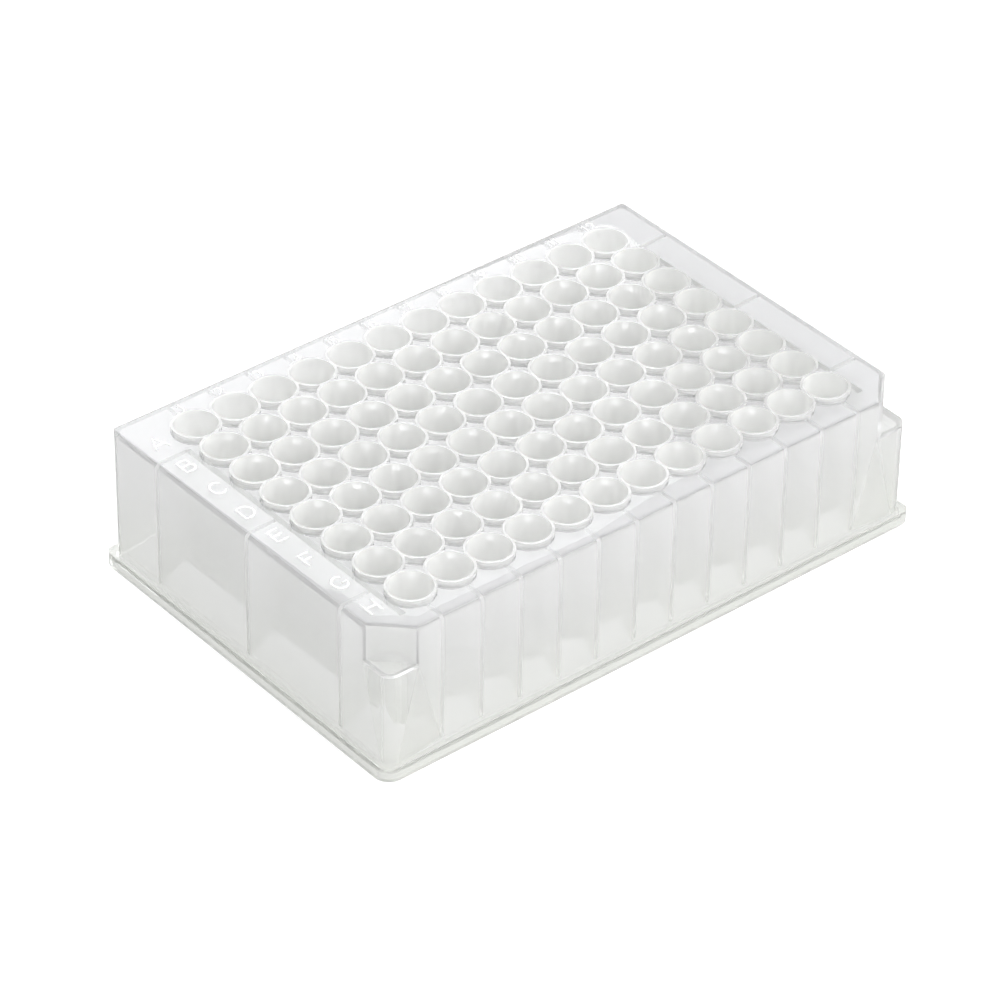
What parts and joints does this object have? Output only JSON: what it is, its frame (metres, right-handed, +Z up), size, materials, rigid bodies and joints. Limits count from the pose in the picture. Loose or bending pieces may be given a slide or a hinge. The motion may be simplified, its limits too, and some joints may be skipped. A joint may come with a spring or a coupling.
{
  "type": "deep well plate",
  "caption": "Moulded deep well plate with a grid of open round wells, two cut corners and a stepped foot, for storing and mixing liquid samples.",
  "frame": {"origin": "on the table, at the centre of the foot's underside", "axes": "+X along the rows towards column 12, +Y towards row A, +Z up out of the wells"},
  "size_m": [0.1278, 0.0854, 0.0312],
  "materials": {
    "plate": "natural translucent polypropylene, satin gloss, straight from the mould"
  },
  "bodies": {
    "root": {"deep_well_plate": "plate"}
  },
  "joints": []
}
